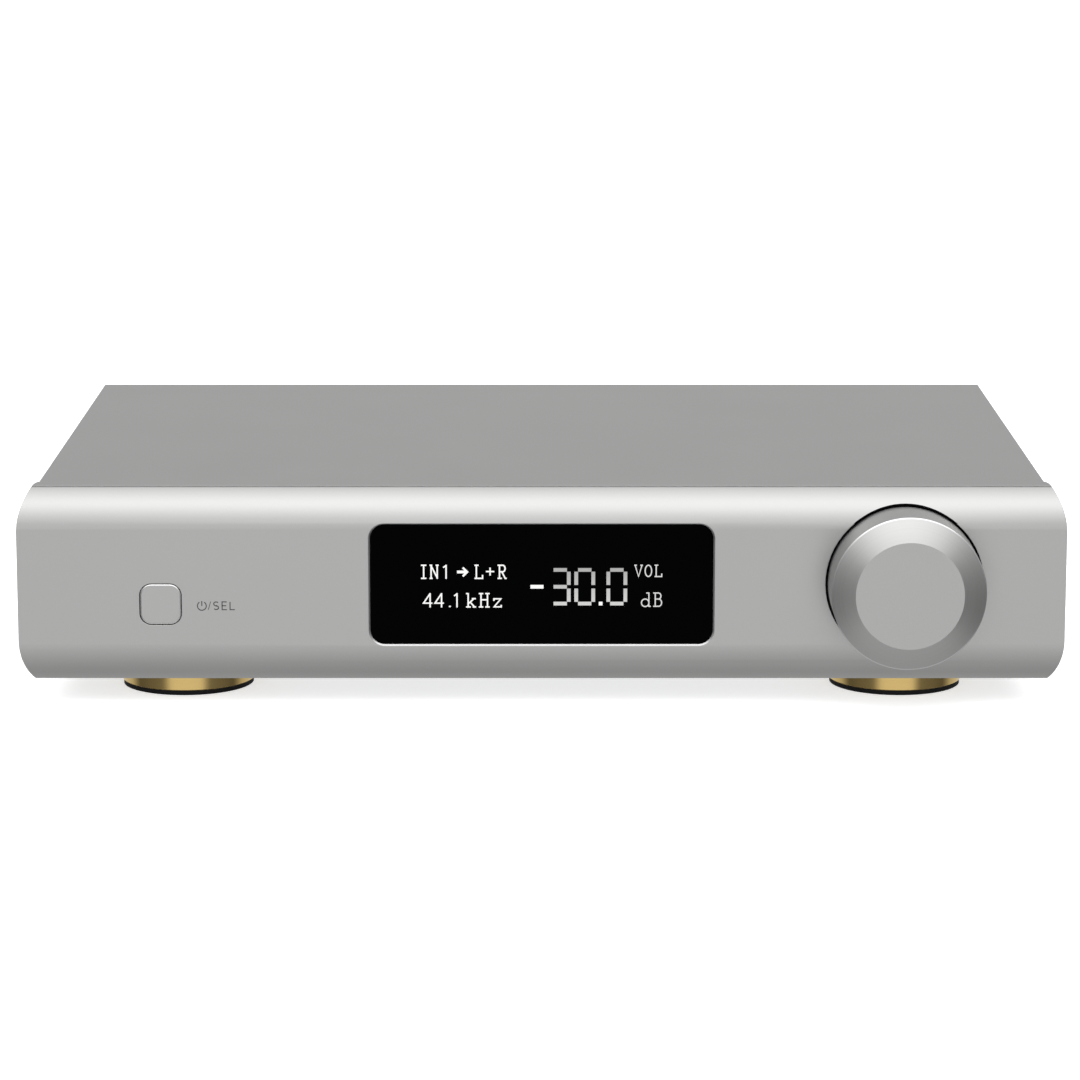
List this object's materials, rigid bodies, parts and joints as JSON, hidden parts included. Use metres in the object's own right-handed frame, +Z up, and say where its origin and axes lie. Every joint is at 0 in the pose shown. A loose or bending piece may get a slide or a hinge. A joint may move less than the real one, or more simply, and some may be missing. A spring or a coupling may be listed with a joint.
{
  "type": "desktop dac",
  "caption": "Slim aluminium desktop digital-to-analogue converter with black display window, turning volume knob, push button, gold feet and rear sockets.",
  "frame": {"origin": "centre of the bounding box in plan, on the surface the feet stand on", "axes": "+X to the right seen from the front, +Y towards the rear sockets, +Z up"},
  "size_m": [0.33, 0.2444, 0.0701],
  "materials": {
    "case_aluminium": "fine bead-blasted, clear anodised",
    "fascia_aluminium": "fine bead-blasted, clear anodised",
    "knob_aluminium": "satin turned sides, bead-blasted face, bright bevel",
    "button_aluminium": "fine bead-blasted, clear anodised",
    "gold_aluminium": "gold anodised, finely turned",
    "foot_rubber": "matte black",
    "window_glass": "black-backed, glossy",
    "black_panel": "black textured powder coat",
    "galvanised": "satin zinc plate",
    "screw_steel": "black zinc",
    "bright_screw": "satin zinc",
    "black_plastic": "moulded, fine texture",
    "rocker_plastic": "semi-gloss",
    "white_plastic": "moulded",
    "nickel": "nickel plated",
    "gold_plate": "gold plated",
    "circuit_board": "satin solder mask",
    "chip_black": "moulded epoxy",
    "tape_yellow": "wound core under polyester tape",
    "can_sleeve": "printed sleeve over an aluminium can",
    "wire_jacket": "vinyl jacket",
    "ribbon_grey": "vinyl ribbon",
    "adhesive": "foam tape",
    "fuse_glass": "clear",
    "display_stack": "dark emissive panel"
  },
  "bodies": {
    "case": {"board_posts": "gold_plate", "board_screws": "bright_screw", "bottom_plate": "galvanised", "bottom_screws": "screw_steel", "capacitors": "can_sleeve", "case_screws": "screw_steel", "display_adhesive": "adhesive", "display_board": "circuit_board", "display_glass": "window_glass", "display_panel": "display_stack", "encoder_body": "nickel", "encoder_nut": "nickel", "fascia": "fascia_aluminium", "foot_pads": "foot_rubber", "foot_screws": "screw_steel", "foot_shells": "gold_aluminium", "front_board": "circuit_board", "front_screws": "bright_screw", "heatsink": "case_aluminium", "inlet_housing": "black_plastic", "internal_wires": "wire_jacket", "left_rail": "case_aluminium", "main_board": "circuit_board", "mains_contacts": "nickel", "optical_port": "black_plastic", "output_relays": "white_plastic", "phono_barrels": "gold_plate", "phono_bodies": "white_plastic", "power_switch_frame": "black_plastic", "rear_panel": "black_panel", "ribbon_cable": "ribbon_grey", "right_rail": "case_aluminium", "shield_can": "galvanised", "signal_chips": "chip_black", "socket_screws": "screw_steel", "supply_board": "circuit_board", "supply_parts": "chip_black", "switch_body": "black_plastic", "top_cover": "case_aluminium", "transformer": "tape_yellow", "transformer_bolt": "bright_screw", "transformer_pads": "foot_rubber", "transformer_washer": "galvanised", "trigger_sockets": "black_plastic", "usb_shell": "nickel", "usb_tongue": "white_plastic", "wire_headers": "white_plastic", "xlr_contacts": "gold_plate", "xlr_inserts": "black_plastic", "xlr_shells": "nickel"},
    "volume": {"volume_knob": "knob_aluminium", "knob_grub_screw": "screw_steel", "encoder_shaft": "nickel"},
    "select": {"select_button": "button_aluminium", "switch_actuator": "black_plastic"},
    "power": {"power_rocker": "rocker_plastic"},
    "fuse_tray": {"fuse_drawer": "black_plastic", "fuse": "fuse_glass"},
    "shutter": {"optical_shutter": "black_plastic"}
  },
  "joints": [
    {"name": "volume_turn", "type": "hinge", "parent": "case", "child": "volume", "pos_m": [0.1142, -0.1018, 0.0405], "axis": [0, 1, 0], "continuous": true},
    {"name": "select_press", "type": "slide", "parent": "case", "child": "select", "axis": [0, 1, 0], "range_m": [0, 0.0005], "stiffness_N_per_m": 800, "springref_m": -0.0012},
    {"name": "power_rock", "type": "hinge", "parent": "case", "child": "power", "pos_m": [0.076, 0.1107, 0.038], "axis": [1, 0, 0], "range_deg": [-20, 0]},
    {"name": "fuse_pull", "type": "slide", "parent": "case", "child": "fuse_tray", "axis": [0, 1, 0], "range_m": [0, 0.022]},
    {"name": "shutter_swing", "type": "hinge", "parent": "case", "child": "shutter", "pos_m": [-0.08, 0.1118, 0.0367], "axis": [-1, 0, 0], "range_deg": [0, 82], "stiffness_Nm_per_rad": 0.0002, "springref_deg": -17.19}
  ]
}
